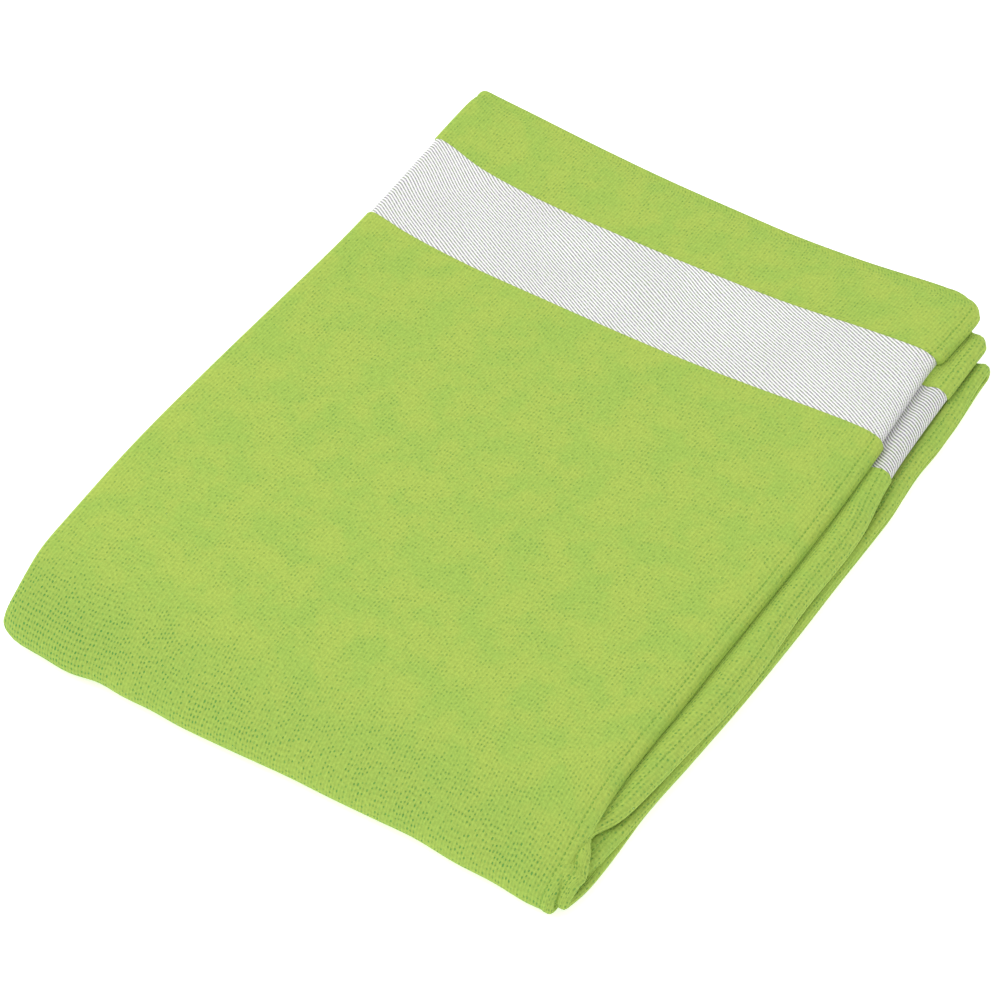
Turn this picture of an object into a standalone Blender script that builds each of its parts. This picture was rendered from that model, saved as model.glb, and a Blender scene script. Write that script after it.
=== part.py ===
"""Quick dry towel, folded for packing.

One length of terry with a woven border band near one end, folded in half along its length and
then in thirds: the bottom third lies flat, the middle third lies on it, and the top third, with
the band, closes over both. Every third is a pair of plies joined at the left side by the
lengthwise fold, so its section is a U lying on its side. The free edges are turned hems, each
with its row of sewing thread. The top third opens about the front fold.

Metres. +X runs across the folded towel to the open side, +Y from the front fold to the free end,
+Z up, and the origin is the bottom centre of the folded stack.
"""

import bmesh
import bpy
from math import asin, cos, pi, sin

# ------------------------------------------------------------------ driving dimensions
TOWEL_WIDTH = 0.514        # flat cloth, side hem to side hem
TOWEL_LENGTH = 0.980       # flat cloth, end hem to end hem
PLY = 0.0042               # height that one ply takes up in the stack
GAP = 0.0003               # air between pieces that touch
EDGE_STEP = 0.012          # the inner ply of each pair shows this far past the outer one
END_OVERHANG = 0.013       # the top third's free end runs this far past the far fold
INNER_END_TUCK = 0.020     # the middle third's free end stops this far from the front face
BAND_WIDTH = 0.053         # woven border band, along the towel
END_STRIP = 0.036          # terry between the band and the free end, with the end hem
END_HEM = 0.010            # turned hem at each short end
SIDE_HEM = 0.008           # turned hem along each long side
HEM_THICKNESS = 0.0031     # a hem is flat cloth folded twice, with no loops on it
THREAD_WIDTH = 0.0008      # one row of lock stitch, seen as a flat ribbon
STITCH_INSET = 0.0048      # stitch row to the cut edge's side of the hem

SIDE_FOLD_STEPS = 8        # segments in a lengthwise half-round fold
TURN_STEPS = 12            # segments in a crosswise half-round fold

# ------------------------------------------------------------------ worked out from those
HALF_GAP = GAP / 2
FRONT_MID = 2 * PLY                              # pair's mid line, out from the front fold's axis
FAR_MID = PLY                                    # the same, out from the far fold's axis
FRONT_AXIS_Z = 3 * PLY - HALF_GAP
FAR_AXIS_Z = 2 * PLY - HALF_GAP

SIDE_FOLD_ARC = pi * PLY / 2
OUTER_PLY_RUN = (TOWEL_WIDTH - SIDE_FOLD_ARC - EDGE_STEP) / 2
INNER_PLY_RUN = OUTER_PLY_RUN + EDGE_STEP
FOLDED_WIDTH = PLY - HALF_GAP + INNER_PLY_RUN
SIDE_FOLD_X = PLY - HALF_GAP - FOLDED_WIDTH / 2
OUTER_EDGE_X = SIDE_FOLD_X + OUTER_PLY_RUN
INNER_EDGE_X = SIDE_FOLD_X + INNER_PLY_RUN

FRONT_REACH = 3 * PLY - HALF_GAP                 # front face, out from the front fold's axis
TURNS_LENGTH = pi * (FRONT_MID + FAR_MID)
TOP_EXTRA = END_OVERHANG + 2 * PLY               # top third's run past the far fold's axis
TUCK_SHORT = INNER_END_TUCK - FRONT_REACH        # middle third's end, inside the front axis
BOTTOM_RUN = (TOWEL_LENGTH - TURNS_LENGTH - TOP_EXTRA + TUCK_SHORT) / 3
TOP_RUN = BOTTOM_RUN + TOP_EXTRA
FOLDED_LENGTH = FRONT_REACH + TOP_RUN

FRONT_AXIS_Y = FRONT_REACH - FOLDED_LENGTH / 2
FAR_AXIS_Y = FRONT_AXIS_Y + BOTTOM_RUN
FREE_END_Y = FRONT_AXIS_Y + TOP_RUN
INNER_END_Y = FRONT_AXIS_Y + TUCK_SHORT

# ------------------------------------------------------------------ colours (linear)
TERRY_GREEN = (0.40, 0.60, 0.10, 1.0)
HEM_GREEN = (0.34, 0.54, 0.09, 1.0)
THREAD_GREEN = (0.27, 0.45, 0.08, 1.0)
BAND_WHITE = (0.83, 0.84, 0.82, 1.0)


def clear_scene():
    """Remove whatever the file opened with."""
    for old in list(bpy.data.objects):
        bpy.data.objects.remove(old, do_unlink=True)


def make_material(name, colour, roughness, sheen=0.0):
    """One Principled material."""
    material = bpy.data.materials.new(name)
    material.use_nodes = True
    shader = material.node_tree.nodes["Principled BSDF"]
    shader.inputs["Base Color"].default_value = colour
    shader.inputs["Roughness"].default_value = roughness
    shader.inputs["Metallic"].default_value = 0.0
    shader.inputs["Sheen Weight"].default_value = sheen
    material.diffuse_color = colour
    return material


# ------------------------------------------------------------------ sections, as (x, n) outlines
# n is the distance out from the axis of the crosswise fold that a pair of plies turns about.
def half_round(mid, radius, upwards):
    """Points of the lengthwise fold at the left side, about (SIDE_FOLD_X, mid)."""
    order = range(SIDE_FOLD_STEPS + 1)
    angles = [pi / 2 + pi * step / SIDE_FOLD_STEPS for step in order]
    if upwards:
        angles.reverse()
    return [(SIDE_FOLD_X + radius * cos(a), mid + radius * sin(a)) for a in angles]


def pair_section(mid, inner=HALF_GAP, outer=PLY - HALF_GAP, inset=SIDE_HEM + GAP):
    """A pair of plies joined at the left: a U from radius inner to outer about the pair's mid
    line, stopping inset short of each free edge."""
    outer_end = OUTER_EDGE_X - inset
    inner_end = INNER_EDGE_X - inset
    outline = [(outer_end, mid + inner), (outer_end, mid + outer)]
    outline += half_round(mid, outer, upwards=False)
    outline += [(inner_end, mid - outer), (inner_end, mid - inner)]
    outline += half_round(mid, inner, upwards=True)
    return outline


def strip_section(right, width, low, high):
    """A flat strip whose right side is at x = right."""
    left = right - width
    return [(left, low), (right, low), (right, high), (left, high)]


def hem_edge(mid, outer_ply):
    """Right side and lowest n of the side hem on one ply of a pair."""
    if outer_ply:
        return OUTER_EDGE_X, mid + HALF_GAP
    return INNER_EDGE_X, mid - PLY + HALF_GAP


def side_hem_section(mid, outer_ply):
    right, low = hem_edge(mid, outer_ply)
    return strip_section(right, SIDE_HEM, low, low + HEM_THICKNESS)


def side_thread_section(mid, outer_ply):
    """The stitch row lies on the hem's outward side."""
    right, low = hem_edge(mid, outer_ply)
    bottom = low + HEM_THICKNESS + GAP
    top = low + PLY - GAP
    return strip_section(right - STITCH_INSET, THREAD_WIDTH, bottom, top)


# ------------------------------------------------------------------ paths, as (y, z, ny, nz)
# Each station is a point on the fold's axis line and the direction in which n is measured there.
def straight(y_from, y_to, axis_z, up):
    return [(y_from, axis_z, 0.0, up), (y_to, axis_z, 0.0, up)]


def turn(axis_y, axis_z, side, start=0.0, stop=pi):
    """Half-round from the top of the turn to the bottom. side is +1 at the far end of the
    towel and -1 at the front."""
    stations = []
    for step in range(TURN_STEPS + 1):
        angle = start + (stop - start) * step / TURN_STEPS
        stations.append((axis_y, axis_z, side * sin(angle), cos(angle)))
    return stations


def stack_path():
    """From the middle third's free end, round the far fold, to the bottom third's front."""
    upper = straight(INNER_END_Y, FAR_AXIS_Y, FAR_AXIS_Z, up=1.0)
    lower = straight(FAR_AXIS_Y, FRONT_AXIS_Y + HALF_GAP, FAR_AXIS_Z, up=-1.0)
    bend = turn(FAR_AXIS_Y, FAR_AXIS_Z, side=1)
    return [upper[0]] + bend + [lower[1]]


def front_path(reach):
    """The front turn, held half a gap clear of both thirds at the given reach."""
    clear = asin(HALF_GAP / reach)
    return turn(FRONT_AXIS_Y, FRONT_AXIS_Z, side=-1, start=clear, stop=pi - clear)


def top_path(y_from=FRONT_AXIS_Y + HALF_GAP, y_to=FREE_END_Y):
    return straight(y_from, y_to, FRONT_AXIS_Z, up=1.0)


# ------------------------------------------------------------------ solids
def sweep(name, section, path, material):
    """Carry a section along a path: one closed body with capped ends."""
    body = bmesh.new()
    rings = []
    for y, z, ny, nz in path:
        rings.append([body.verts.new((x, y + n * ny, z + n * nz)) for x, n in section])
    count = len(section)
    for near, far in zip(rings, rings[1:]):
        for i in range(count):
            j = (i + 1) % count
            body.faces.new((near[i], near[j], far[j], far[i]))
    body.faces.new(rings[0])
    body.faces.new(reversed(rings[-1]))
    bmesh.ops.recalc_face_normals(body, faces=body.faces)

    mesh = bpy.data.meshes.new(name)
    body.to_mesh(mesh)
    body.free()
    mesh.shade_smooth()
    mesh.set_sharp_from_angle(angle=pi / 5)
    mesh.materials.append(material)
    piece = bpy.data.objects.new(name, mesh)
    bpy.context.scene.collection.objects.link(piece)
    return piece


def put_origin_at(piece, point):
    """Move a piece's origin without moving the piece."""
    for vertex in piece.data.vertices:
        vertex.co = [c - p for c, p in zip(vertex.co, point)]
    piece.location = point


def make_top_third(terry, hem, thread, white):
    """Everything that opens: the top third with the border band, its end hem and side hems."""
    band_far_y = FREE_END_Y - END_STRIP
    band_near_y = band_far_y - BAND_WIDTH
    hem_y = FREE_END_Y - END_HEM
    cloth = pair_section(FRONT_MID)
    hem_pair = pair_section(FRONT_MID, outer=HALF_GAP + HEM_THICKNESS)
    thread_low = HALF_GAP + HEM_THICKNESS + GAP
    thread_pair = pair_section(FRONT_MID, inner=thread_low, outer=PLY - GAP)
    row_y = hem_y + END_HEM - STITCH_INSET - THREAD_WIDTH
    pieces = [
        sweep("top_third_cloth", cloth, top_path(y_to=band_near_y - HALF_GAP), terry),
        sweep("border_band", cloth, top_path(band_near_y + HALF_GAP, band_far_y - HALF_GAP), white),
        sweep("end_strip_cloth", cloth, top_path(band_far_y + HALF_GAP, hem_y - HALF_GAP), terry),
        sweep("end_hem", hem_pair, top_path(hem_y + HALF_GAP), hem),
        sweep("end_hem_thread", thread_pair, top_path(row_y, row_y + THREAD_WIDTH), thread),
    ]
    for ply, is_outer in (("outer", True), ("inner", False)):
        hem_section = side_hem_section(FRONT_MID, is_outer)
        row_section = side_thread_section(FRONT_MID, is_outer)
        pieces.append(sweep(f"top_side_hem_{ply}", hem_section, top_path(), hem))
        pieces.append(sweep(f"top_side_thread_{ply}", row_section, top_path(), thread))
    for piece in pieces:
        put_origin_at(piece, (0.0, FRONT_AXIS_Y, FRONT_AXIS_Z))


def make_front_fold(terry, hem, thread):
    """The turn that joins the bottom third to the top third."""
    cloth = pair_section(FRONT_MID)
    sweep("front_fold_cloth", cloth, front_path(FRONT_MID - PLY + HALF_GAP), terry)
    for ply, is_outer in (("outer", True), ("inner", False)):
        hem_section = side_hem_section(FRONT_MID, is_outer)
        row_section = side_thread_section(FRONT_MID, is_outer)
        path = front_path(hem_section[0][1])
        sweep(f"front_side_hem_{ply}", hem_section, path, hem)
        sweep(f"front_side_thread_{ply}", row_section, path, thread)


def make_stack(terry, hem, thread):
    """What stays put: the middle and bottom thirds, the far fold and their hems."""
    cloth = pair_section(FAR_MID)
    hem_pair = pair_section(FAR_MID, outer=HALF_GAP + HEM_THICKNESS)
    thread_low = HALF_GAP + HEM_THICKNESS + GAP
    thread_pair = pair_section(FAR_MID, inner=thread_low, outer=PLY - GAP)
    hem_y = INNER_END_Y + END_HEM
    row_y = INNER_END_Y + STITCH_INSET
    front_y = FRONT_AXIS_Y + HALF_GAP
    far_y = FAR_AXIS_Y - HALF_GAP
    middle = straight(hem_y + HALF_GAP, far_y, FAR_AXIS_Z, up=1.0)
    bottom = straight(front_y, far_y, FAR_AXIS_Z, up=-1.0)
    inner_hem = straight(INNER_END_Y, hem_y - HALF_GAP, FAR_AXIS_Z, up=1.0)
    inner_row = straight(row_y, row_y + THREAD_WIDTH, FAR_AXIS_Z, up=1.0)
    sweep("middle_third_cloth", cloth, middle, terry)
    sweep("bottom_third_cloth", cloth, bottom, terry)
    sweep("far_fold_cloth", cloth, turn(FAR_AXIS_Y, FAR_AXIS_Z, side=1), terry)
    sweep("inner_end_hem", hem_pair, inner_hem, hem)
    sweep("inner_end_thread", thread_pair, inner_row, thread)
    for ply, is_outer in (("outer", True), ("inner", False)):
        hem_section = side_hem_section(FAR_MID, is_outer)
        row_section = side_thread_section(FAR_MID, is_outer)
        sweep(f"stack_side_hem_{ply}", hem_section, stack_path(), hem)
        sweep(f"stack_side_thread_{ply}", row_section, stack_path(), thread)


def main():
    clear_scene()
    terry = make_material("terry_green", TERRY_GREEN, roughness=0.95, sheen=0.3)
    hem = make_material("hem_green", HEM_GREEN, roughness=0.9)
    thread = make_material("thread_green", THREAD_GREEN, roughness=0.7)
    white = make_material("band_white", BAND_WHITE, roughness=0.6)
    make_top_third(terry, hem, thread, white)
    make_front_fold(terry, hem, thread)
    make_stack(terry, hem, thread)


main()
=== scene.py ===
"""Folded quick dry towel: the visual model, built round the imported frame.

The towel is one cloth, folded in half along its length and then in thirds. Its mid surface is
laid out here as one grid of rows (from the free end, round the front fold and the far fold, to
the tucked end) and columns (from the outer ply's free edge, round the lengthwise fold, to the
inner ply's free edge). Pieces are cut from that grid by rows, so neighbours share a border.

Lengths in this script are millimetres in the row frame, and metres where an object is made.
"""

from collections import namedtuple
from math import cos, pi, radians, sin

import bpy
import numpy as np
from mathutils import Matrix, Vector


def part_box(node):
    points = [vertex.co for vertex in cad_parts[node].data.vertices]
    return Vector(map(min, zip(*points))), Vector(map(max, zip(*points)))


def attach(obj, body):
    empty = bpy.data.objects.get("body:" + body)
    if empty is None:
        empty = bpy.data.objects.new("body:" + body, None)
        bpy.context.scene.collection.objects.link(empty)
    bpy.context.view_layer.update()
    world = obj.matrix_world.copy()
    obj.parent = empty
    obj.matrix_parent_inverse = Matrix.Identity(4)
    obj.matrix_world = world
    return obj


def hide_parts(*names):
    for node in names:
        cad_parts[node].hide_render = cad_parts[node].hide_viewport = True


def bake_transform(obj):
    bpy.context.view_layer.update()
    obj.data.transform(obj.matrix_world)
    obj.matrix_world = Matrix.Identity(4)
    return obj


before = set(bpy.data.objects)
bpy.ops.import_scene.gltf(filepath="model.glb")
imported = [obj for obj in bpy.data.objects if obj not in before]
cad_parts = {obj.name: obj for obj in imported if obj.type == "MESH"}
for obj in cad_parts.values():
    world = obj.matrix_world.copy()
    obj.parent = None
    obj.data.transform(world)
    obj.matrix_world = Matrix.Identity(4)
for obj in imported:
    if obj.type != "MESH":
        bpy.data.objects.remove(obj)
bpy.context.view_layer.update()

MM = 1000.0


def span(node, axis):
    """Lowest and highest place of a CAD node along one axis, in millimetres."""
    low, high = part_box(node)
    return low[axis] * MM, high[axis] * MM


LEFT = span("top_third_cloth", 0)[0]
OUTER_EDGE = span("top_side_hem_outer", 0)[1]
INNER_EDGE = span("top_side_hem_inner", 0)[1]
FRONT = span("front_fold_cloth", 1)[0]
FREE_END = span("end_hem", 1)[1]
BAND_NEAR, BAND_FAR = span("border_band", 1)
FAR_FACE = span("far_fold_cloth", 1)[1]
INNER_END = span("inner_end_hem", 1)[0]
HEIGHT = span("top_third_cloth", 2)[1]
PLY = HEIGHT / 6
FAR_TURN = FAR_FACE - 2 * PLY      # where the far fold starts to turn

# ------------------------------------------------------------------ small helpers
def smooth(t):
    """0 to 1 with flat ends."""
    t = np.clip(t, 0.0, 1.0)
    return t * t * (3 - 2 * t)


def wave_of(turns):
    """A sine wave, one to a whole turn."""
    return np.sin(2 * pi * turns)


def hill(x, centre, width):
    """A smooth hump, 1 at its centre."""
    return np.exp(-(((x - centre) / width) ** 2))


def quarter(q):
    """Height of a quarter ellipse, 0 at q = 0 and 1 from q = 1 on."""
    q = np.clip(q, 0.0, 1.0)
    return np.sqrt(np.maximum(1 - (1 - q) ** 2, 0.0))


def rolled(from_edge, width):
    """1 at a free edge that rolls down, falling to 0 at the roll's width."""
    return 1 - quarter(from_edge / width)


def curve(*points):
    """A smooth curve through a few (place, value) points, flat beyond its ends."""
    place, value = np.array(points, float).T
    slope = np.gradient(value, place)
    slope[0] = slope[-1] = 0.0

    def at(x):
        x = np.clip(x, place[0], place[-1])
        i = np.clip(np.searchsorted(place, x) - 1, 0, len(place) - 2)
        h = place[i + 1] - place[i]
        t = (x - place[i]) / h
        return (
            value[i] * (1 + 2 * t) * (1 - t) ** 2
            + slope[i] * h * t * (1 - t) ** 2
            + value[i + 1] * t * t * (3 - 2 * t)
            + slope[i + 1] * h * t * t * (t - 1)
        )

    return at


def waves(x, y, seed, size, length):
    """Slow unevenness of hand-folded cloth, about size high and length long."""
    rng = np.random.default_rng(seed)
    total = 0.0
    for _ in range(5):
        turn, phase = rng.uniform(0, pi), rng.uniform(0, 2 * pi)
        wave = length * rng.uniform(0.7, 1.5)
        total = total + np.sin((x * cos(turn) + y * sin(turn)) * 2 * pi / wave + phase)
    return total * size / 2.2


# ------------------------------------------------------------------ shape of the folded stack
TERRY = 3.3                # thickness of the looped cloth
FLAT = 2.1                 # thickness of the woven band
SHEAR = 0.022              # the folds aren't square to the sides
LOWER_SHIFT = 2.5          # the lower two thirds lie this far to the right of the top third
FREE_CORNER = 7.0          # radius of the corners at the free end
HIDDEN_CORNER = 3.0        # radius of the corner at the tucked end
BAND_DRAW = 1.4            # how far the band draws the edge in
BAND_EASE = 2.0            # over which stretch it does so
FOLD_X = LEFT + 4.3        # where the plies meet the round of the lengthwise fold
CLOSED_TURN = 2.2          # radius of the far fold's inner ply at its edge
SIDE_FALL = 1.6            # fall of the stack's upper face towards the open side
END_DROOP = 1.8            # droop of the top third past the far fold
OUTER_ROLL = 3.8           # drop of the top third's outer edge, which rolls down
INNER_ROLL = 3.7           # and of its inner ply's edge
VALLEY = 2.7               # hollow in the inner ply, under the outer ply's edge
RIDGE = 0.8                # and the low ridge past it
NOSE_LIFT = 1.4            # lift of the inner ply inside the front fold
CRUMPLE = 0.9              # small waves where the plies crowd at the front right corner
BOTTOM_ROLL = 2.4          # lift lost at the bottom third's inner edge
MIDDLE_LIFT = 1.5          # swell of the middle third where nothing lies on it
MIDDLE_ROLL = 3.6          # drop of its inner edge
MIDDLE_EDGE = 1.4          # drop of its outer edge
SQUEEZE = 0.17             # share of its thickness that the middle third loses at the front
LEFT_RIPPLE = 0.5          # how unevenly the three thirds' lengthwise folds lie
CORNER_BACK = 4.5          # how far the front left corner stands back
NOSE_DEPTH = 30.0          # reach of the front fold's piece on its upper side
UNDER_DEPTH = 15.0         # and on its underside

# Offsets, each as (place, value) points. Places along the towel run from -171 at the front fold
# to 171 at the free end, and places across it from -132 at the lengthwise fold to 132.
# Along the towel: sag of its middle, and the lengthwise fold's waviness.
SAG = curve((-171, 0.0), (-60, 1.6), (80, 4.0), (135, 5.4), (171, 4.6))
LEFT_SHIFT = curve(
    (-171, 3.2), (-152, 1.3), (-136, -1.0), (-122, -1.6), (-85, -2.6), (-30, -1.8), (25, -0.5),
    (70, 0.8), (171, -0.4),
)

# Across the towel: height of the front fold's foremost line, and how deep the top third's
# shoulder runs behind it.
TIP_HEIGHT = curve((-125, 8.5), (0, 8.0), (70, 7.2), (120, 5.2))
SHOULDER_AT = curve((-128, 30), (-90, 38), (80, 40), (120, 47))

# Across the towel: bows of the band's two edges, of the free end and of the front fold.
NEAR_LINE = curve(
    (-128, 2.1), (-110, 0.3), (-85, -1.0), (-40, -1.1), (30, -0.5), (60, 0.7), (85, 2.1), (118, 3.0)
)
FAR_LINE = curve(
    (-128, 2.5), (-105, -1.9), (-75, -3.9), (-40, -3.8), (0, -3.3), (50, -2.1), (80, 0.3),
    (105, 1.6), (118, 2.0),
)
END_LINE = curve(
    (-128, 2.9), (-105, 2.8), (-70, 1.4), (-40, 0.2), (0, -0.7), (30, -1.4), (60, -0.4), (105, 3.0)
)
FRONT_LINE = curve(
    (-132, -4.6), (-126, -3.2), (-112, -3.2), (-96, -4.0), (-84, -1.9), (-72, -2.5), (-58, -2.2),
    (-46, -2.7), (-28, -2.2), (-12, -1.4), (3, -0.6), (25, -0.3), (45, 0.4), (60, 1.0), (80, -0.2),
    (97, 0.1), (112, -0.8),
)

# Along the towel: where each ply's free edge lies at the open side, first in the top third and
# then in the lower ones. INNER_SHORT is how far the top third's inner ply is drawn back from the
# free end at its open side.
OUTER_TOP = curve(
    (-171, 2.8), (-147, 1.6), (-128, -0.6), (-60, -0.9), (48, -0.3), (83, -1.6), (136, -4.0),
    (158, -2.8),
)
INNER_TOP = curve(
    (-171, -4.5), (-160, -3.2), (-151, -6), (-141, -11), (-125, -6), (-108, -3.6), (-85, -1.4),
    (-62, 1.2), (0, 0.4), (50, 0.4), (74, -3.0), (124, -5.6), (165, -5.9),
)
INNER_SHORT = curve((-50, 0.0), (83, 11.3), (135, 12.4), (171, 10.2))
OUTER_LOW = curve((-171, 2.6), (-150, 0.0), (-115, -4.5), (115, -4.5), (150, -1.0))
INNER_BOTTOM = curve(
    (-171, -5.0), (-155, -3.6), (-115, -6.4), (-85, -4.6), (-50, -2.6), (-7, -1.4), (22, -1.2),
    (40, -0.9), (52, -0.7), (66, -0.7), (75, -1.4), (93, -2.3), (104, -1.8), (120, -2.1),
    (150, -3.0),
)
INNER_MIDDLE = curve(
    (-171, -6), (-115, -5.2), (-85, -3.6), (-50, -1.6), (-7, -0.7), (22, -0.6), (40, -0.3),
    (52, -0.1), (66, -0.1), (75, -0.8), (93, -1.6), (104, -1.1), (120, -1.5), (150, -3.0),
)


def height(x, y):
    """Height of the whole stack, which sinks in the middle and falls towards the open side."""
    across = np.clip((x - LEFT) / (OUTER_EDGE - LEFT), 0, 1)
    dip = SAG(y) * np.sin(pi * across**0.75)
    fall = SIDE_FALL * smooth((x - OUTER_EDGE + 22) / 30)
    uneven = waves(x, y, seed=3, size=0.22, length=120) * smooth((x - LEFT) / 20)
    return HEIGHT - dip - fall + uneven


def free_corner(d, radius):
    """How far a rounded corner stands back at distance d from the end."""
    return radius * rolled(d, radius)


def near_band(y):
    """1 on the woven band, falling to 0 on the terry beside it."""
    after_near = smooth((y - BAND_NEAR + BAND_EASE) / BAND_EASE)
    before_far = smooth((BAND_FAR + BAND_EASE - y) / BAND_EASE)
    return after_near * before_far


def edge_of(outer, leg, s):
    """Where the free edge of a ply is, before its rounded rim."""
    y = FRONT + s
    if leg == "top":
        if outer:
            x = OUTER_EDGE + OUTER_TOP(y) - free_corner(FREE_END - y, FREE_CORNER)
            return x - BAND_DRAW * near_band(y) - TERRY / 2
        return INNER_EDGE + INNER_TOP(y) - free_corner(FREE_END - y, FREE_CORNER) - TERRY / 2
    shift = LOWER_SHIFT * smooth(s / 60)
    if outer:
        return OUTER_EDGE + OUTER_LOW(y) + shift - TERRY / 2
    if leg == "middle":
        shift = shift - free_corner(y - INNER_END, HIDDEN_CORNER)
        return INNER_EDGE + INNER_MIDDLE(y) + shift - TERRY / 2
    return INNER_EDGE + INNER_BOTTOM(y) + shift - TERRY / 2


def plies_in(outer):
    """How deep a ply's mid surface lies in its leg of two plies, counted in plies."""
    return 0.5 if outer else 1.5


def tip_room(outer, x):
    """How far behind the front line a ply turns. At the right the inner ply turns closer."""
    return 0.5 * PLY if outer else 1.8 * PLY - 2.4 * smooth((x - 112) / 8)


def tip_height(outer, x):
    """How high a ply turns at the front."""
    return TIP_HEIGHT(x) + (0.0 if outer else 2.2)


def inner_turn(x, from_edge, half):
    """Radius of the far fold's inner ply: open where it shows, and closed at its edge."""
    opened = half + 3.2 * smooth((x - OUTER_EDGE - 3) / 8)
    return CLOSED_TURN + (opened - CLOSED_TURN) * quarter(from_edge / 8)


def far_opening(s, x, from_edge, p):
    """How far the inner ply parts from its middle place as it comes near the far fold."""
    near_turn = smooth((FRONT + s - FAR_FACE + 45) / 36)
    return (inner_turn(x, from_edge, p / 2) - p / 2) * near_turn


# Each function below gives the y and z of one ply's mid surface. s is the distance from the
# front fold, x the place across, from_edge the distance from the free edge, and p one ply's
# share of the stack's height.
def top_third(outer, s, x, from_edge):
    """From the front line over the shoulder to the free end, with its side edges rolled down."""
    tip = tip_room(outer, x)
    shoulder = SHOULDER_AT(x)
    step = s + tip * np.clip(1 - s / shoulder, 0, 1) ** 2
    y = FRONT + step
    low = tip_height(outer, x)
    high = height(x, y) * (1 - plies_in(outer) / 6)
    z = low + (high - low) * quarter((step - tip) / (shoulder - tip))
    z = z - END_DROOP * smooth((y - FAR_FACE + 6) / 24) ** 2
    away = smooth((s - 16) / 34)
    if outer:
        return y, z - OUTER_ROLL * rolled(from_edge, 8) * (0.45 + 0.55 * away) * smooth(s / 14)

    past_outer = x - (OUTER_EDGE + OUTER_TOP(y))
    z = z - VALLEY * hill(past_outer, -1, 5) * away + RIDGE * hill(past_outer, 5.5, 3.5) * away
    z = z - INNER_ROLL * rolled(from_edge, 8) * away + NOSE_LIFT * (1 - away) * smooth(s / 8)
    crumple = wave_of((0.55 * (x - 118) + s) / 10) * hill(s, 14, 9) * smooth(s / 6)
    return y, z + CRUMPLE * crumple * smooth((x - 112) / 6)


def bottom_third(outer, s, x, from_edge):
    """From the front line, under the nose, to the far fold."""
    tip = tip_room(outer, x)
    step = s + tip * np.clip(1 - s / 20, 0, 1) ** 2
    y = FRONT + step
    p = height(x, y) / 6
    low = tip_height(outer, x)
    z = low - (low - plies_in(outer) * p) * quarter((step - tip) / (8.0 if outer else 5.0))
    if outer:
        return y, z
    away = smooth((s - 20) / 30) * smooth((FAR_FACE - 12 - y) / 25)
    z = z - BOTTOM_ROLL * (1 - smooth(from_edge / 9)) * away
    return y, z - far_opening(s, x, from_edge, p)


def far_fold(outer, angle, x, from_edge):
    """Half a turn from the bottom third up to the middle one. It takes an angle, not s."""
    p = height(x, np.full_like(x, FAR_TURN)) / 6
    radius = (2 - plies_in(outer)) * p
    if not outer:
        radius = inner_turn(x, from_edge, radius)
    return FAR_TURN + radius * np.sin(angle), 2 * p - radius * np.cos(angle)


def middle_third(outer, s, x, from_edge):
    """From the far fold back to the tucked end, squeezed together near the front fold."""
    y = FRONT + s
    p = height(x, y) / 6
    squeeze = 1 - SQUEEZE * (1 - smooth((s - 18) / 26))
    z = 2 * p + (2 - plies_in(outer)) * p * squeeze
    away = smooth((FAR_FACE - 12 - y) / 25)
    if outer:
        return y, z - MIDDLE_EDGE * (1 - smooth(from_edge / 9)) * away
    z = z + MIDDLE_LIFT * smooth((x - INNER_EDGE - INNER_TOP(y) + 3) / 4) * away
    z = z - MIDDLE_ROLL * rolled(from_edge, 9) * away
    return y, z + far_opening(s, x, from_edge, p)


LEG_SHAPES = {
    "top": top_third,
    "bottom": bottom_third,
    "far": far_fold,
    "middle": middle_third,
}

# Rows at a hemmed end, and rows where the cloth steps down from terry to band. Both are counted
# from the edge.
HEM_ROWS = np.array([0, 0.3, 0.9, 1.7, 2.6, 3.6, 4.3, 4.8, 5.3, 6.0, 7.2, 8.6, 10.2])
STEP_ROWS = np.array([0, 0.12, 0.35, 0.7, 1.2, 2.0, 3.2])


def even_rows(start, end, spacing):
    """Rows from start to end, about one spacing apart."""
    return np.linspace(start, end, max(2, int(round(abs(end - start) / spacing)) + 1))


def rows_of_legs():
    """Each block's leg and its rows as distances from the front, close together where the
    shape turns. The far fold's rows are angles."""
    strip = [
        FREE_END - HEM_ROWS,
        even_rows(FREE_END - HEM_ROWS[-1], BAND_FAR + STEP_ROWS[-1], 3.0)[1:-1],
        BAND_FAR + STEP_ROWS[::-1],
    ]
    band = [
        BAND_FAR - STEP_ROWS,
        even_rows(BAND_FAR - STEP_ROWS[-1], BAND_NEAR + STEP_ROWS[-1], 3.0)[1:-1],
        BAND_NEAR + STEP_ROWS[::-1],
    ]
    top = [
        BAND_NEAR - STEP_ROWS,
        even_rows(BAND_NEAR - STEP_ROWS[-1], FRONT + NOSE_DEPTH, 3.4)[1:],
    ]
    nose = FRONT + NOSE_DEPTH * (1 - np.cos(np.linspace(pi / 2, 0, 17)))
    under = FRONT + UNDER_DEPTH * (1 - np.cos(np.linspace(0, pi / 2, 14)))
    bottom = even_rows(under[-1], FAR_TURN, 3.8)
    middle = [
        even_rows(FAR_TURN, INNER_END + HEM_ROWS[-1], 3.8),
        INNER_END + HEM_ROWS[::-1][1:],
    ]
    return {
        "strip": ("top", np.concatenate(strip) - FRONT),
        "band": ("top", np.concatenate(band) - FRONT),
        "top": ("top", np.concatenate(top) - FRONT),
        "nose": ("top", nose - FRONT),
        "under": ("bottom", under - FRONT),
        "bottom": ("bottom", bottom - FRONT),
        "far": ("far", np.linspace(0, pi, 13)),
        "middle": ("middle", np.concatenate(middle) - FRONT),
    }


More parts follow.
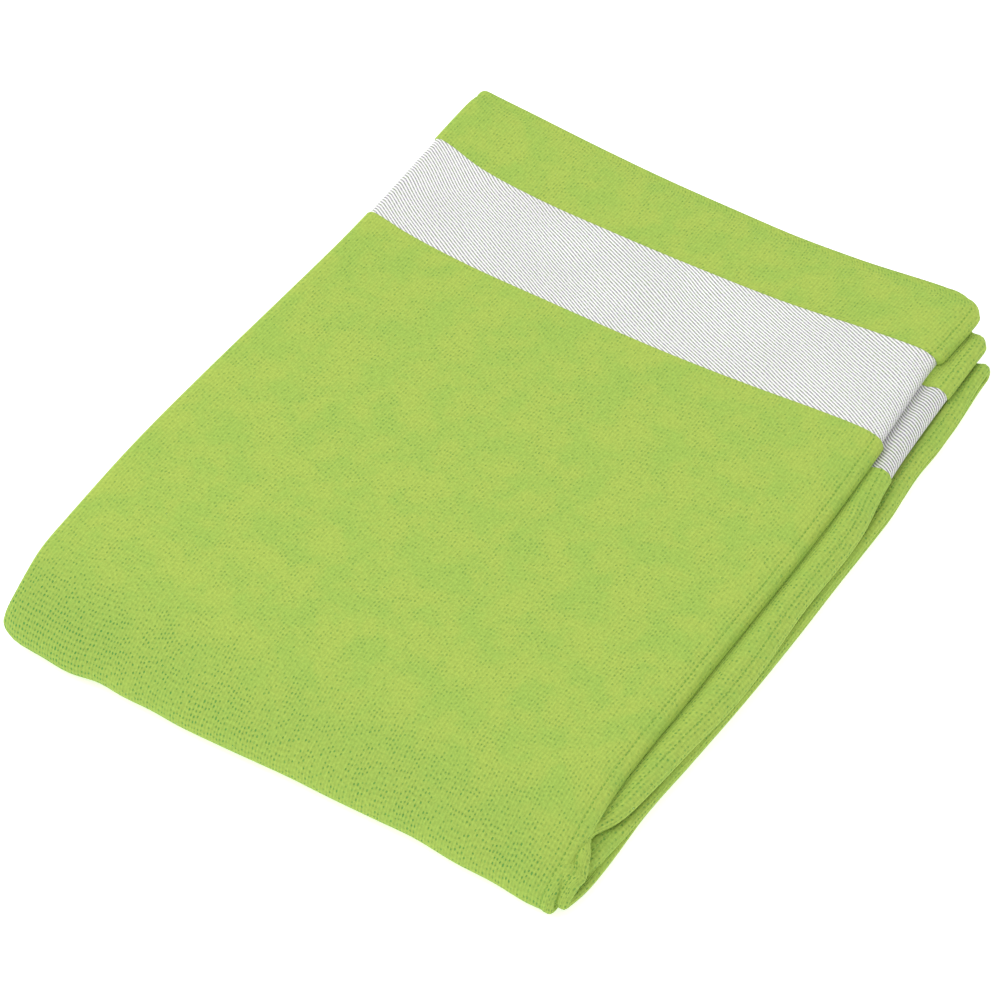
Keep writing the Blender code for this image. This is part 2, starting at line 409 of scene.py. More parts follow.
EDGE_COLUMNS = np.array([0, 0.7, 1.5, 2.4, 3.3, 4.1, 4.8, 5.5, 6.3, 7.3, 8.5, 10, 12.5])
OPEN_COLUMNS = 68
FOLD_COLUMNS = 9
FAR_AWAY = 99.0            # stands for no edge nearby
Block = namedtuple("Block", "grid from_edge from_front leg")


def ply_points(outer, leg, s, from_front):
    """One ply's points from its free edge to the lengthwise fold, and how far each lies from
    the edge."""
    edge = edge_of(outer, "bottom" if leg == "far" else leg, from_front)[:, None]
    fine = edge - EDGE_COLUMNS[None, :]
    share = np.linspace(0, 1, OPEN_COLUMNS + 1)[1:]
    x = np.concatenate([fine, fine[:, -1:] + (FOLD_X - fine[:, -1:]) * share[None, :]], 1)
    s = np.broadcast_to(s[:, None], x.shape)
    y, z = LEG_SHAPES[leg](outer, s, x, edge - x)
    if leg == "top" and not outer:
        y = y - INNER_SHORT(FRONT + s) * smooth((x - 20) / 90)
    return np.stack([x, y, z], -1), edge - x


def build_grid():
    """The whole cloth's mid surface in blocks of rows, and each block's first and last row."""
    blocks, rows, count = [], {}, 0
    for name, (leg, s) in rows_of_legs().items():
        from_front = np.full_like(s, FAR_TURN - FRONT) if leg == "far" else s
        outer, outer_edge = ply_points(True, leg, s, from_front)
        inner, inner_edge = ply_points(False, leg, s, from_front)
        inner, inner_edge = inner[:, ::-1], inner_edge[:, ::-1]

        half = (outer[:, -1:] - inner[:, :1]) / 2
        middle = (outer[:, -1:] + inner[:, :1]) / 2
        size = np.linalg.norm(half, axis=-1, keepdims=True)
        angle = np.linspace(0, pi, FOLD_COLUMNS + 2)[None, 1:-1, None]
        bulge = np.array([-1.0, 0, 0]) * np.sin(angle) * size * 1.15
        fold = middle + half * np.cos(angle) + bulge

        grid = np.concatenate([outer, fold, inner], 1)
        no_edge = np.full(fold.shape[:2], FAR_AWAY)
        from_edge = np.concatenate([outer_edge, no_edge, inner_edge], 1)
        from_front = np.repeat(from_front[:, None], grid.shape[1], 1)
        blocks.append(Block(grid, from_edge, from_front, leg))
        rows[name] = (count, count + len(s))
        count += len(s)
    return blocks, rows


LEG_PHASES = {"top": 0.0, "bottom": 2.0, "far": 2.0, "middle": 4.0}


def plan_warp(grid, leg):
    """Skews and bows of the folded towel, seen from above."""
    x, y, z = grid[..., 0], grid[..., 1], grid[..., 2]
    across = np.clip((x - LEFT) / (OUTER_EDGE - LEFT), 0, 1)
    new_x = x + LEFT_SHIFT(y) * (1 - across) ** 1.5
    new_x = new_x + LEFT_RIPPLE * np.sin(y / 31 + LEG_PHASES[leg]) * (1 - across) ** 4
    new_y = y + SHEAR * (x + 5)
    if leg == "top":
        near, far, end = NEAR_LINE(x), FAR_LINE(x), END_LINE(x)
        new_y = new_y + near * smooth((y + 40) / (BAND_NEAR + 40))
        new_y = new_y + (far - near) * np.clip((y - BAND_NEAR) / (BAND_FAR - BAND_NEAR), 0, 1)
        new_y = new_y + (end - far) * np.clip((y - BAND_FAR) / (FREE_END - BAND_FAR), 0, 1)
    new_y = new_y + FRONT_LINE(x) * smooth(1 - (y - FRONT) / 70)
    left_corner = smooth(1 - (x - LEFT) / 14) ** 2 * smooth(1 - (y - FRONT) / 45)
    new_y = new_y + CORNER_BACK * left_corner
    return np.stack([new_x, new_y, z], -1)


BLOCKS, ROWS = build_grid()
GRID = np.concatenate([plan_warp(block.grid, block.leg) for block in BLOCKS])
FROM_EDGE = np.concatenate([block.from_edge for block in BLOCKS])
FROM_FRONT = np.concatenate([block.from_front for block in BLOCKS])
FLAT_Y = FRONT + FROM_FRONT
IS_TOP = np.concatenate([np.full(block.grid.shape[:2], block.leg == "top") for block in BLOCKS])
COLUMNS = GRID.shape[1]
OUTER_COLUMNS = len(EDGE_COLUMNS) + OPEN_COLUMNS
PLAIN_ROW = ROWS["top"][0] + 20    # a row in the plain part of the top third
PLAIN_COLUMN = 40                  # a column in the open part of the outer ply


def unit(vectors):
    """Vectors brought to length 1."""
    return vectors / np.maximum(np.linalg.norm(vectors, axis=-1, keepdims=True), 1e-9)


def directions():
    """Outward normal and unit tangents along columns and rows, and the run of cloth down to
    each row. Rows that two blocks share are counted once."""
    keep = np.ones(len(GRID), bool)
    for first, _ in list(ROWS.values())[1:]:
        keep[first] = False
    single = GRID[keep]
    down = np.gradient(single, axis=0)
    across = np.gradient(single, axis=1)
    steps = np.linalg.norm(np.diff(single[:, PLAIN_COLUMN], axis=0), axis=-1)
    run = np.concatenate([[0.0], np.cumsum(steps)])
    row = np.cumsum(keep) - 1
    return unit(np.cross(across, down))[row], unit(down)[row], unit(across)[row], run[row]


NORMAL, DOWN, ACROSS, RUN = directions()

RIM_ROOM = 1.6             # how far the rounded rim stands past the mid surface's edge
STITCH_LINE = 4.8          # distance of a hem's stitches from the cloth's edge
HEM_FLAT = 0.35            # a hem has no loops, so it is this much thinner
HEM_GROOVE = 0.6           # its stitches draw it in
HEM_BEAD = 0.45            # and its edge stays plump
PILE_ROUND = 1.3           # over which stretch the loops round off beside the band


def hem_profile(d, share=1.0):
    """Thickness change of a turned hem at distance d from the cloth's edge."""
    flat = -HEM_FLAT * smooth((9.4 - d) / 1.6)
    groove = -HEM_GROOVE * hill(d, STITCH_LINE, 0.8)
    bead = HEM_BEAD * smooth((4.2 - d) / 1.4)
    return (flat + groove + bead) * share


def from_end():
    """Distance of each grid point from the hemmed end of its leg."""
    end = np.where(IS_TOP, FREE_END - FLAT_Y, FAR_AWAY)
    first, last = ROWS["middle"]
    end[first:last] = FLAT_Y[first:last] - INNER_END
    return end


FROM_END = from_end()


def thickness():
    """Thickness of the cloth at each grid point."""
    side = hem_profile(FROM_EDGE + RIM_ROOM, 1 - 0.8 * IS_TOP * near_band(FLAT_Y))
    hem = np.minimum(side, hem_profile(FROM_END + RIM_ROOM))
    past_far = FLAT_Y > (BAND_NEAR + BAND_FAR) / 2
    from_band = np.where(past_far, FLAT_Y - BAND_FAR, BAND_NEAR - FLAT_Y)
    pile = np.where(IS_TOP, quarter(np.maximum(from_band, 0) / PILE_ROUND), 1.0)
    return FLAT + (TERRY - FLAT) * pile + hem


THICK = thickness()


def cloth_coordinates():
    """Place across the cloth, for the weave, on its outer and on its inner face. The count runs
    on round each rim from one face to the other."""
    steps = np.linalg.norm(np.diff(GRID[PLAIN_ROW], axis=0), axis=-1)
    out = -np.concatenate([[0.0], np.cumsum(steps)])
    rim = pi * TERRY / 2
    back = rim - out
    middle = OUTER_COLUMNS + FOLD_COLUMNS // 2
    back[middle:] = 2 * out[-1] - rim - out[middle:]
    return out, back


U_OUT, U_BACK = cloth_coordinates()


def open_share(row):
    """How far the loops stand apart where the cloth curves, 0 to 1, which is also the share of
    painted shade: over the front fold, more at its left end, and in the valley under the outer ply's
    edge.
    """
    # Over the front fold the loops open, and the colour is painted darker as shade, more towards the
    # left end.
    bend_and_shade = hill(FROM_FRONT[row], 4, 26) * (0.55 + 0.45 * hill(GRID[row, :, 0], -128, 60))
    # The inner ply's strip past the outer ply's edge lies in the valley under it: painted shade
    # there, and looser loops in the terry.
    valley_shade = 0.3 * smooth((24 - FROM_EDGE[row]) / 12)
    valley_shade[:OUTER_COLUMNS] = 0.0
    return np.maximum(bend_and_shade, valley_shade)


def hem_share(row):
    """1 on a turned hem, 0 on the open cloth."""
    side = smooth((8.6 - FROM_EDGE[row]) / 1.5)
    end = smooth((10.2 - FROM_END[row]) / 1.5)
    return np.maximum(side, end)


RIM_POINTS = 5
RIM_ANGLES = [pi * k / (RIM_POINTS + 1) for k in range(1, RIM_POINTS + 1)]
END_ANGLES = [radians(a) for a in (22, 45, 65, 82)]


def ring(row, push=0.0, thin=1.0):
    """One closed loop round the cloth's thickness at a row: positions, cloth coordinates with the
    share of open loops and painted shade, and hem share. push moves it along the cloth and thin
    narrows it, for a rounded end."""
    mid = GRID[row] + DOWN[row] * push
    half = THICK[row][:, None] / 2 * thin
    out = mid + NORMAL[row] * half
    back = mid - NORMAL[row] * half
    first = [
        mid[0] - ACROSS[row, 0] * half[0, 0] * sin(a) - NORMAL[row, 0] * half[0, 0] * cos(a)
        for a in RIM_ANGLES
    ]
    last = [
        mid[-1] + ACROSS[row, -1] * half[-1, 0] * sin(a) + NORMAL[row, -1] * half[-1, 0] * cos(a)
        for a in RIM_ANGLES
    ]
    points = np.concatenate([out, last, back[::-1], first])
    turn = np.array(RIM_ANGLES) * TERRY / 2
    u = np.concatenate([U_OUT, U_OUT[-1] - turn, U_BACK[::-1], turn[::-1]])
    v = np.full(len(points), RUN[row] + push)
    bend_and_shade, hem = open_share(row), hem_share(row)
    bend_and_shade_values = np.concatenate([bend_and_shade, [bend_and_shade[-1]] * RIM_POINTS, bend_and_shade[::-1], [bend_and_shade[0]] * RIM_POINTS])
    hems = np.concatenate([hem, [1.0] * RIM_POINTS, hem[::-1], [1.0] * RIM_POINTS])
    return points, np.stack([u, v, bend_and_shade_values], -1), hems


def cap(base, count, start):
    """Closes a ring with a strip of quads between its two faces, and a fan at each rim."""
    n = COLUMNS
    back = base + 2 * n + RIM_POINTS - 1
    faces = [(base + i, base + i + 1, back - i - 1, back - i) for i in range(n - 1)]
    right = [base + n - 1 + k for k in range(RIM_POINTS + 2)]
    left = [base + (2 * n + RIM_POINTS - 1 + k) % count for k in range(RIM_POINTS + 2)]
    faces += [tuple(right), tuple(left)]
    return [tuple(reversed(face)) for face in faces] if start else faces


def new_object(name, points, faces, attributes=()):
    """A smooth mesh object. Each attribute is a label, a type and one value for each point."""
    mesh = bpy.data.meshes.new(name)
    mesh.from_pydata((np.asarray(points) / MM).tolist(), [], faces)
    mesh.validate()
    for label, kind, values in attributes:
        attribute = mesh.attributes.new(label, kind, "POINT")
        key = "vector" if kind == "FLOAT_VECTOR" else "value"
        attribute.data.foreach_set(key, np.asarray(values, np.float32).ravel())
    mesh.shade_smooth()
    piece = bpy.data.objects.new(name, mesh)
    bpy.context.scene.collection.objects.link(piece)
    return piece


def rounded_end(row, side):
    """Shrinking rings that close the cloth with a half round, past a row (side 1) or before it
    (side -1)."""
    half = THICK[row].mean() / 2
    return [ring(row, push=side * half * sin(a), thin=cos(a)) for a in END_ANGLES]


def cloth_piece(name, first, last, round_start=False, round_end=False):
    """A closed piece of cloth from row first to row last."""
    rings = [ring(row) for row in range(first, last + 1)]
    if round_start:
        rings = rounded_end(first, -1)[::-1] + rings
    if round_end:
        rings += rounded_end(last, 1)
    points, cloth, hems = (np.concatenate(parts) for parts in zip(*rings))
    count = len(rings[0][0])
    faces = []
    for base in range(0, (len(rings) - 1) * count, count):
        up = base + count
        for i in range(count):
            k = (i + 1) % count
            faces.append((base + i, base + k, up + k, up + i))
    faces += cap(0, count, True) + cap((len(rings) - 1) * count, count, False)
    piece = new_object(
        name, points, faces, attributes=[("cloth", "FLOAT_VECTOR", cloth), ("hem", "FLOAT", hems)]
    )
    piece.data.set_sharp_from_angle(angle=radians(50))
    return piece


# ------------------------------------------------------------------ stitches
STITCH_PITCH = 2.3
STITCH_LENGTH = 1.7
STITCH_RADIUS = 0.33
STITCH_DIP = 0.22          # how far a stitch's ends sink into the cloth
STITCH_SIDES = 6
STITCH_PROFILE = [(-1.0, 0.35), (-0.72, 0.85), (0.0, 1.0), (0.72, 0.85), (1.0, 0.35)]
STITCH_COLUMN = int(np.argmin(abs(EDGE_COLUMNS + RIM_ROOM - STITCH_LINE)))


def along_line(line, normals):
    """Centre, direction and normal of each stitch along a line."""
    steps = np.linalg.norm(np.diff(line, axis=0), axis=-1)
    run = np.concatenate([[0.0], np.cumsum(steps)])
    at = np.arange(STITCH_PITCH / 2, run[-1] - STITCH_PITCH / 3, STITCH_PITCH)

    def read(values, where):
        return np.stack([np.interp(where, run, values[:, k]) for k in range(3)], -1)

    centre = read(line, at)
    along = read(line, at + 0.4) - read(line, at - 0.4)
    along /= np.linalg.norm(along, axis=-1, keepdims=True)
    up = read(normals, at)
    up /= np.linalg.norm(up, axis=-1, keepdims=True)
    return centre, along, up


def stitches(name, lines):
    """Separate stitches along lines of (points, normals), each a small rounded bar of thread."""
    points, faces = [], []
    last = (len(STITCH_PROFILE) - 1) * STITCH_SIDES
    for line, normals in lines:
        for centre, along, up in zip(*along_line(line, normals)):
            side = np.cross(up, along)
            base = len(points)
            for reach, width in STITCH_PROFILE:
                middle = centre + along * reach * STITCH_LENGTH / 2 - up * STITCH_DIP * reach * reach
                radius = STITCH_RADIUS * width
                for k in range(STITCH_SIDES):
                    a = 2 * pi * k / STITCH_SIDES
                    points.append(middle + side * radius * cos(a) + up * radius * sin(a))
            for low in range(base, base + last, STITCH_SIDES):
                high = low + STITCH_SIDES
                for k in range(STITCH_SIDES):
                    k2 = (k + 1) % STITCH_SIDES
                    faces.append((low + k, low + k2, high + k2, high + k))
            faces.append(tuple(base + k for k in reversed(range(STITCH_SIDES))))
            faces.append(tuple(base + last + k for k in range(STITCH_SIDES)))
    return new_object(name, points, faces)


def face_lines(rows, columns, sunk):
    """A stitch line on both faces of the cloth, sunk a little into it."""
    mid, normal = GRID[rows, columns], NORMAL[rows, columns]
    half = THICK[rows, columns][:, None] / 2 - sunk
    return [(mid + normal * half, normal), (mid - normal * half, -normal)]


def side_lines(outer, first, last):
    """The side hem's stitch line between two rows."""
    column = STITCH_COLUMN if outer else COLUMNS - 1 - STITCH_COLUMN
    return face_lines(slice(first, last + 1), column, sunk=0.02)


def end_lines(row):
    """An end hem's stitch line, which stops short of both side edges."""
    return face_lines(row, slice(4, COLUMNS - 4), sunk=0.2)


# ------------------------------------------------------------------ materials
class Nodes:
    """Short names for building a shader as a formula."""

    def __init__(self, name):
        self.material = bpy.data.materials.new(name)
        self.material.use_nodes = True
        self.tree = self.material.node_tree
        self.shader = self.tree.nodes["Principled BSDF"]

    def put(self, socket, value):
        if isinstance(value, bpy.types.NodeSocket):
            self.tree.links.new(value, socket)
        else:
            socket.default_value = value

    def math(self, operation, *values):
        """One sum. Values are numbers or other nodes' outputs."""
        node = self.tree.nodes.new("ShaderNodeMath")
        node.operation = operation
        for socket, value in zip(node.inputs, values):
            self.put(socket, value)
        return node.outputs[0]

    def add(self, a, b):
        return self.math("ADD", a, b)

    def times(self, a, b):
        return self.math("MULTIPLY", a, b)

    def minus(self, a, b):
        return self.math("SUBTRACT", a, b)

    def scaled(self, value, factor, offset):
        """Value times a factor, plus an offset."""
        return self.math("MULTIPLY_ADD", value, factor, offset)

    def wave(self, place, period):
        """0 to 1 and back each period."""
        turn = self.times(place, 2 * pi / period)
        return self.scaled(self.math("COSINE", turn), 0.5, 0.5)

    def remap(self, value, low, high, new_low=0.0, new_high=1.0):
        """Soft step from new_low to new_high as the value goes from low to high."""
        node = self.tree.nodes.new("ShaderNodeMapRange")
        node.interpolation_type = "SMOOTHSTEP"
        for socket, v in zip(node.inputs, (value, low, high, new_low, new_high)):
            self.put(socket, v)
        return node.outputs[0]

    def attribute(self, name):
        node = self.tree.nodes.new("ShaderNodeAttribute")
        node.attribute_name = name
        return node

    def split(self, vector):
        node = self.tree.nodes.new("ShaderNodeSeparateXYZ")
        self.put(node.inputs[0], vector)
        return node.outputs

    def join(self, x, y, z=0.0):
        node = self.tree.nodes.new("ShaderNodeCombineXYZ")
        for socket, v in zip(node.inputs, (x, y, z)):
            self.put(socket, v)
        return node.outputs[0]

    def noise(self, vector, scale, detail=2.0, roughness=0.5):
        """Soft noise, about 0.3 to 0.7."""
        node = self.tree.nodes.new("ShaderNodeTexNoise")
        node.inputs["Scale"].default_value = scale
        node.inputs["Detail"].default_value = detail
        node.inputs["Roughness"].default_value = roughness
        self.put(node.inputs["Vector"], vector)
        return node.outputs["Fac"]

    def chance(self, vector):
        """A number from 0 to 1 that is the same all over a cell."""
        node = self.tree.nodes.new("ShaderNodeTexWhiteNoise")
        node.noise_dimensions = "2D"
        self.put(node.inputs["Vector"], vector)
        return node.outputs["Value"]

    def mix(self, share, a, b):
        """Colour a where the share is 0, and b where it is 1."""
        node = self.tree.nodes.new("ShaderNodeMix")
        node.data_type = "RGBA"
        self.put(node.inputs[0], share)
        for socket, v in ((node.inputs[6], a), (node.inputs[7], b)):
            self.put(socket, v)
        return node.outputs[2]

    def shade(self, colour, amount):
        """Colour times a number."""
        node = self.tree.nodes.new("ShaderNodeVectorMath")
        node.operation = "SCALE"
        self.put(node.inputs[0], colour)
        self.put(node.inputs["Scale"], amount)
        return node.outputs[0]

    def bump(self, height, distance, strength):
        """Relief from a height, distance metres high."""
        node = self.tree.nodes.new("ShaderNodeBump")
        node.inputs["Strength"].default_value = strength
        node.inputs["Distance"].default_value = distance
        self.put(node.inputs["Height"], height)
        return node.outputs["Normal"]


GREEN = (0.398, 0.522, 0.0935, 1.0)
GREEN_SHADE = (0.348, 0.508, 0.0905, 1.0)    # slow patches of a cooler green
GREEN_FOLD_SHADE = (0.325, 0.470, 0.087, 1.0)      # painted shade over the front fold and in the valley, where loops also stand apart
GREEN_GAP_SHADE = (0.100, 0.330, 0.070, 1.0)      # painted shade in the gaps between loops
SHEEN_GREEN = (0.65, 0.95, 0.35, 1.0)
ROW_PERIOD = 1.40                            # rows of loops, across the cloth
LOOP_PERIOD = 2.05                           # loops along a row
TERRY_RELIEF = 0.00045                       # metres


def make_terry():
    """Looped cloth: rows of loops along it, with painted shade in the small gap between
    neighbours. Over a curve of the cloth and in a hem the gaps open and line up into a mesh. Over
    the front fold and in the valley under the outer ply's edge the colour is painted darker as
    shade."""
    n = Nodes("terry_green")
    u, v, bend_and_shade = n.split(n.attribute("cloth").outputs["Vector"])
    hem = n.attribute("hem").outputs["Fac"]
    flat = n.join(u, v)

    # Rows and loops wander, and each row's loops start at a place of their own.
    wobble = n.minus(n.noise(flat, 0.11, 2.0), 0.5)
    ripple = n.minus(n.noise(n.join(v, u), 0.34, 3.0, 0.6), 0.5)
    across = n.add(u, n.times(wobble, 1.6))
    row = n.math("FLOOR", n.times(across, 1 / ROW_PERIOD))
    opened = n.math("MAXIMUM", bend_and_shade, n.times(hem, 0.15))
    row_start = n.times(n.chance(n.join(row, 7.0)), n.scaled(opened, -0.8, 1.0))
    along = n.add(n.add(v, n.times(ripple, 1.9)), n.times(row_start, LOOP_PERIOD))
    loop = n.math("FLOOR", n.times(along, 1 / LOOP_PERIOD))
    rows = n.wave(across, ROW_PERIOD)
    loops = n.wave(along, LOOP_PERIOD)
    furrow = n.minus(1.0, rows)
    gap = n.minus(1.0, loops)

    # Some gaps are deep and some closed, more of them open where the cloth curves; deep gaps get
    # more painted shade and relief.
    patch = n.remap(n.noise(flat, 0.055, 3.0, 0.6), 0.38, 0.64)
    grain = n.noise(flat, 1.35, 2.0, 0.6)
    tuft = n.noise(flat, 0.70, 2.0, 0.55)
    luck = n.add(n.chance(n.join(row, loop)), n.times(opened, 0.55))
    luck = n.add(luck, n.times(patch, 0.18))
    depth = n.remap(luck, 0.45, 1.25, 0.10, 1.0)
    pit = n.add(n.times(furrow, gap), n.times(n.minus(tuft, 0.5), 1.3))
    pit = n.times(n.remap(pit, 0.42, 1.0), depth)

    blotch = n.noise(flat, 0.06, 4.0, 0.6)
    base = n.mix(n.remap(blotch, 0.38, 0.64), GREEN, GREEN_SHADE)
    # Painted shade over the front fold and in the valley under the outer ply's edge.
    base = n.mix(bend_and_shade, base, GREEN_FOLD_SHADE)
    # Colour multiplier: grain and tufts vary the tone at random, and loop crests are painted lighter
    # as highlight.
    light = n.add(n.remap(grain, 0.3, 0.7, -0.05, 0.05), n.times(n.times(rows, loops), 0.07))
    light = n.add(light, n.remap(tuft, 0.3, 0.7, -0.07, 0.07))
    light = n.add(light, 0.985)
    # Painted shade: the gaps between loops and the furrows between rows are painted darker.
    pit_shade = n.times(pit, n.scaled(bend_and_shade, 0.70, 0.42))
    furrow_shade = n.times(furrow, n.scaled(patch, 0.05, 0.075))
    gap_shade = n.add(pit_shade, furrow_shade)
    n.put(n.shader.inputs["Base Color"], n.mix(gap_shade, n.shade(base, light), GREEN_GAP_SHADE))

    relief = n.add(n.times(rows, 0.24), n.times(pit, -0.8))
    relief = n.add(relief, n.times(grain, 0.45))
    relief = n.add(relief, n.times(tuft, 0.6))
    n.put(n.shader.inputs["Normal"], n.bump(relief, TERRY_RELIEF, 0.8))
    n.put(n.shader.inputs["Roughness"], n.remap(grain, 0.3, 0.7, 0.9, 1.0))
    n.put(n.shader.inputs["Specular IOR Level"], 0.12)
    n.put(n.shader.inputs["Sheen Weight"], 0.15)
    n.put(n.shader.inputs["Sheen Roughness"], 0.45)
    n.put(n.shader.inputs["Sheen Tint"], SHEEN_GREEN)
    return n.material


WHITE = (0.92, 0.915, 0.915)
# Tints of the painted shade in the grooves between ribs.
GROOVE_SHADE_TINTS = (0.25, 0.23, 0.28, 1.0), (0.24, 0.30, 0.18, 1.0)
RIB_SLANT = radians(26)
RIB_PERIOD = 1.30
BEAD_PERIOD = 0.95
BAND_RELIEF = 0.00022                        # metres


def make_band():
    """Flat woven border: slanting ribs, with beads along them and flecked grooves between. The
    grooves are painted darker as shade, and in the valley under the outer ply's edge the whole band
    is too.
    """
    n = Nodes("band_white")
    u, v, valley_shade = n.split(n.attribute("cloth").outputs["Vector"])
    flat = n.join(u, v)
    wobble = n.minus(n.noise(flat, 0.02, 2.0), 0.5)
    across = n.minus(n.times(u, sin(RIB_SLANT)), n.times(v, cos(RIB_SLANT)))
    across = n.add(across, n.times(wobble, 5.0))
    along = n.add(n.times(u, cos(RIB_SLANT)), n.times(v, sin(RIB_SLANT)))
    rib = n.wave(across, RIB_PERIOD)
    bead = n.wave(along, BEAD_PERIOD)
    groove = n.remap(rib, 0.10, 0.74, 1.0, 0.0)
    fleck = n.noise(flat, 0.75, 1.0)
    # Painted shade in the grooves between ribs, flecked and beaded.
    groove_shade = n.times(groove, n.add(n.times(bead, 0.45), n.remap(fleck, 0.3, 0.7, 0.45, 0.80)))
    # Painted shade in the valley under the outer ply's edge: deeper grooves there.
    groove_shade = n.times(groove_shade, n.scaled(valley_shade, 1.2, 1.0))
    tint = n.mix(n.remap(n.noise(flat, 0.9, 0.0), 0.42, 0.58), *GROOVE_SHADE_TINTS)
    tone = n.remap(n.noise(flat, 0.03, 2.0), 0.3, 0.7, 0.97, 1.02)
    # The white's tone varies at random, and is painted darker as shade in that valley.
    tone = n.times(tone, n.scaled(valley_shade, -0.30, 0.975))
    n.put(n.shader.inputs["Base Color"], n.mix(groove_shade, n.shade(WHITE, tone), tint))
    relief = n.add(n.times(rib, 1.0), n.times(n.times(bead, 0.2), groove))
    n.put(n.shader.inputs["Normal"], n.bump(relief, BAND_RELIEF, 0.7))
    n.put(n.shader.inputs["Roughness"], n.remap(rib, 0.0, 1.0, 0.75, 0.5))
    n.put(n.shader.inputs["Specular IOR Level"], 0.3)
    n.put(n.shader.inputs["Sheen Weight"], 0.08)
    return n.material


THREAD_LIGHT = (0.27, 0.45, 0.080, 1.0)
THREAD_DARK = (0.18, 0.34, 0.060, 1.0)


def make_thread():
    """Twisted sewing thread."""
    n = Nodes("thread_green")
    spot = n.tree.nodes.new("ShaderNodeTexCoord").outputs["Object"]
    twist = n.noise(spot, 1800.0, 1.0)
    colour = n.mix(n.remap(twist, 0.35, 0.65), THREAD_LIGHT, THREAD_DARK)
    n.put(n.shader.inputs["Base Color"], colour)
    n.put(n.shader.inputs["Normal"], n.bump(twist, 0.00015, 0.6))
    n.put(n.shader.inputs["Roughness"], 0.8)
    n.put(n.shader.inputs["Specular IOR Level"], 0.12)
    return n.material


def make_floor_material():
    """Plain pale floor, faintly lit from within so that the towel's shadow stays soft."""
    n = Nodes("pale_floor")
    spot = n.tree.nodes.new("ShaderNodeTexCoord").outputs["Object"]
    tone = n.remap(n.noise(spot, 3.0), 0.3, 0.7, 0.93, 0.94)
    n.put(n.shader.inputs["Base Color"], n.join(tone, tone, tone))
    n.put(n.shader.inputs["Roughness"], 0.9)
    n.put(n.shader.inputs["Specular IOR Level"], 0.1)
    n.put(n.shader.inputs["Emission Color"], (1.0, 1.0, 1.0, 1.0))
    n.put(n.shader.inputs["Emission Strength"], 0.5)
    return n.material


# ------------------------------------------------------------------ the pieces
terry, band, thread = make_terry(), make_band(), make_thread()


def dress(piece, material):
    """Gives a piece its material."""
    piece.data.materials.append(material)


def stretch(*names):
    """First and last row of some neighbouring blocks."""
    return ROWS[names[0]][0], ROWS[names[-1]][1] - 1


TOP, BAND, STRIP = stretch("top"), stretch("band"), stretch("strip")
FRONT_FOLD, STACK = stretch("nose", "under"), stretch("bottom", "middle")

top_terry = cloth_piece("top_third_terry", *TOP)
top_band = cloth_piece("top_third_band", *BAND)
top_strip = cloth_piece("top_third_end_strip", *STRIP, round_start=True)
front_fold = cloth_piece("front_fold_terry", *FRONT_FOLD)
stack = cloth_piece("stack_terry", *STACK, round_end=True)

for piece in (top_terry, top_strip, front_fold, stack):
    dress(piece, terry)
dress(top_band, band)

# Rows that the side hems' stitches cover. They leave the band free, and each end hem too.
SIDE_STITCHES = {
    "top": ((STRIP[0] + 6, STRIP[1]), TOP),
    "front": (FRONT_FOLD,),
    "stack": ((STACK[0], STACK[1] - 7),),
}
END_STITCH_ROW = STRIP[0] + 5
INNER_STITCH_ROW = STACK[1] - 5

threads = {}
for part, stretches in SIDE_STITCHES.items():
    for ply, is_outer in (("outer", True), ("inner", False)):
        lines = [line for rows in stretches for line in side_lines(is_outer, *rows)]
        threads[f"{part}_side_thread_{ply}"] = stitches(f"{part}_side_stitches_{ply}", lines)
threads["end_hem_thread"] = stitches("end_hem_stitches", end_lines(END_STITCH_ROW))
threads["inner_end_thread"] = stitches("inner_end_stitches", end_lines(INNER_STITCH_ROW))
for node, piece in threads.items():
    dress(piece, thread)
    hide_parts(node)

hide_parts("top_third_cloth", "top_side_hem_outer", "top_side_hem_inner")
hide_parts("border_band")
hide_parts("end_strip_cloth", "end_hem")
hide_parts("front_fold_cloth", "front_side_hem_outer", "front_side_hem_inner")
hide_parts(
    "middle_third_cloth", "bottom_third_cloth", "far_fold_cloth", "inner_end_hem",
    "stack_side_hem_outer", "stack_side_hem_inner",
)

for piece in (top_terry, top_band, top_strip):
    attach(piece, "top_third")
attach(stack, "folded_stack")
for node, piece in threads.items():
    if not node.startswith("front"):
        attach(piece, "top_third" if node.startswith(("top", "end")) else "folded_stack")

# The front fold and its stitches belong to neither body: their placement is baked into their points.
for piece in (front_fold, threads["front_side_thread_outer"], threads["front_side_thread_inner"]):
    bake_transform(piece)


# ------------------------------------------------------------------ floor, light and camera
FLOOR_HALF = 6.0           # metres


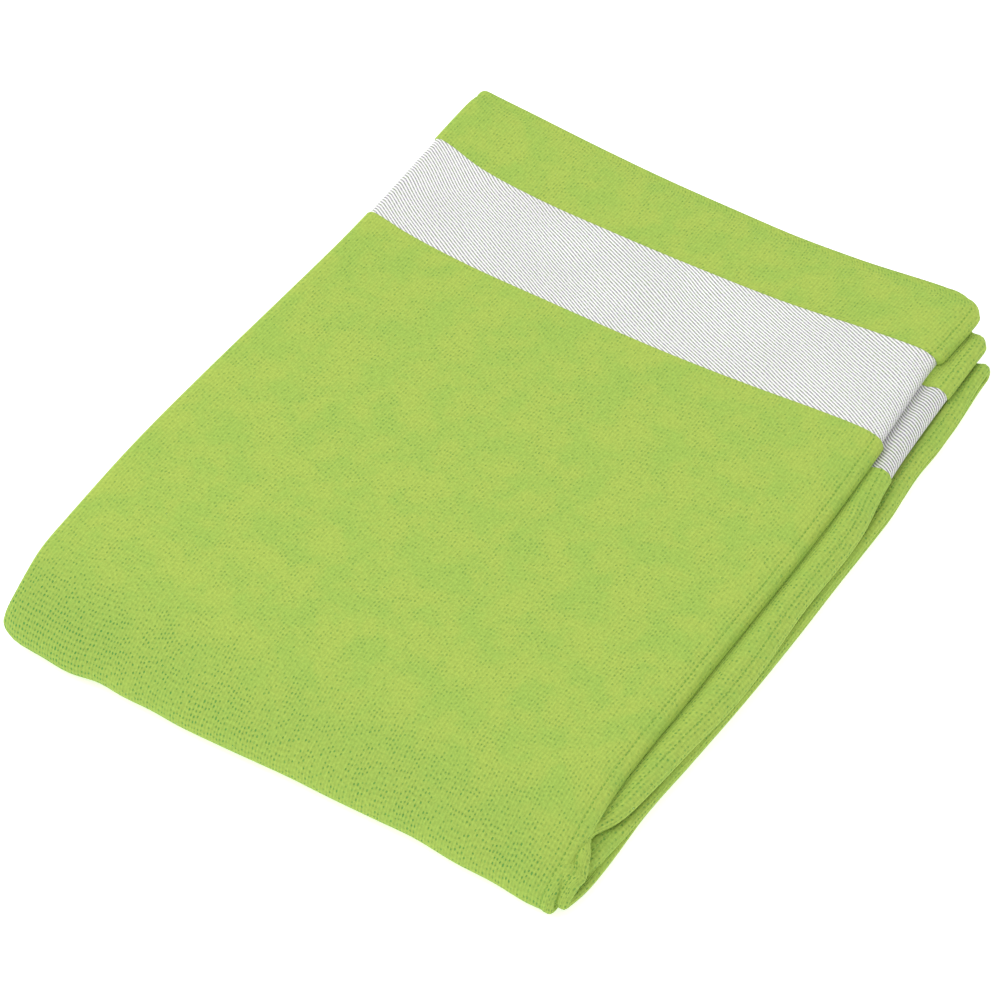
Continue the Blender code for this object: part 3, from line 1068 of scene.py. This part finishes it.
def make_floor():
    mesh = bpy.data.meshes.new("floor")
    half = FLOOR_HALF
    corners = [(-half, -half, 0), (half, -half, 0), (half, half, 0), (-half, half, 0)]
    mesh.from_pydata(corners, [], [(0, 1, 2, 3)])
    floor = bpy.data.objects.new("floor", mesh)
    bpy.context.scene.collection.objects.link(floor)
    floor.data.materials.append(make_floor_material())
    return floor


floor = make_floor()


def aim(thing, location, target):
    """Puts a light or a camera at a place and turns it towards a target."""
    thing.location = location
    thing.rotation_mode = "QUATERNION"
    thing.rotation_quaternion = (Vector(target) - Vector(location)).to_track_quat("-Z", "Y")


def make_light(name, size, energy, location):
    """A square studio light, turned towards the towel."""
    data = bpy.data.lights.new(name, "AREA")
    data.shape = "SQUARE"
    data.size = size
    data.energy = energy
    light = bpy.data.objects.new(name, data)
    bpy.context.scene.collection.objects.link(light)
    aim(light, location, (0, 0, 0))


def make_world():
    """Plain white surroundings that light the towel evenly."""
    world = bpy.data.worlds.new("studio")
    world.use_nodes = True
    background = world.node_tree.nodes["Background"]
    background.inputs["Color"].default_value = (1.0, 1.0, 1.0, 1.0)
    background.inputs["Strength"].default_value = 0.85
    bpy.context.scene.world = world
    bpy.context.scene.view_settings.view_transform = "Standard"


AZIMUTH, ELEVATION, DISTANCE, LENS = radians(32.88), radians(48.99), 1.46, 129.6
TARGET = Vector((-0.0052, 0.0, 0.0))
FRAMING = (-0.00365, -0.00487)     # where the picture's middle lies from the target


def make_camera():
    """The photograph's camera: it looks down at the towel from its front right."""
    back = Vector((sin(AZIMUTH) * cos(ELEVATION), -cos(AZIMUTH) * cos(ELEVATION), sin(ELEVATION)))
    turn = (-back).to_track_quat("-Z", "Y")
    right, up = turn @ Vector((1, 0, 0)), turn @ Vector((0, 1, 0))
    data = bpy.data.cameras.new("camera")
    data.lens, data.sensor_width = LENS, 36.0
    data.clip_start, data.clip_end = 0.05, 50.0
    camera = bpy.data.objects.new("camera", data)
    bpy.context.scene.collection.objects.link(camera)
    aim(camera, TARGET + back * DISTANCE, TARGET + right * FRAMING[0] + up * FRAMING[1])
    bpy.context.scene.camera = camera


make_light("key", size=1.4, energy=14.0, location=(-0.9, -0.5, 1.5))
make_light("fill", size=1.8, energy=4.0, location=(1.2, 0.9, 1.4))
make_world()
make_camera()
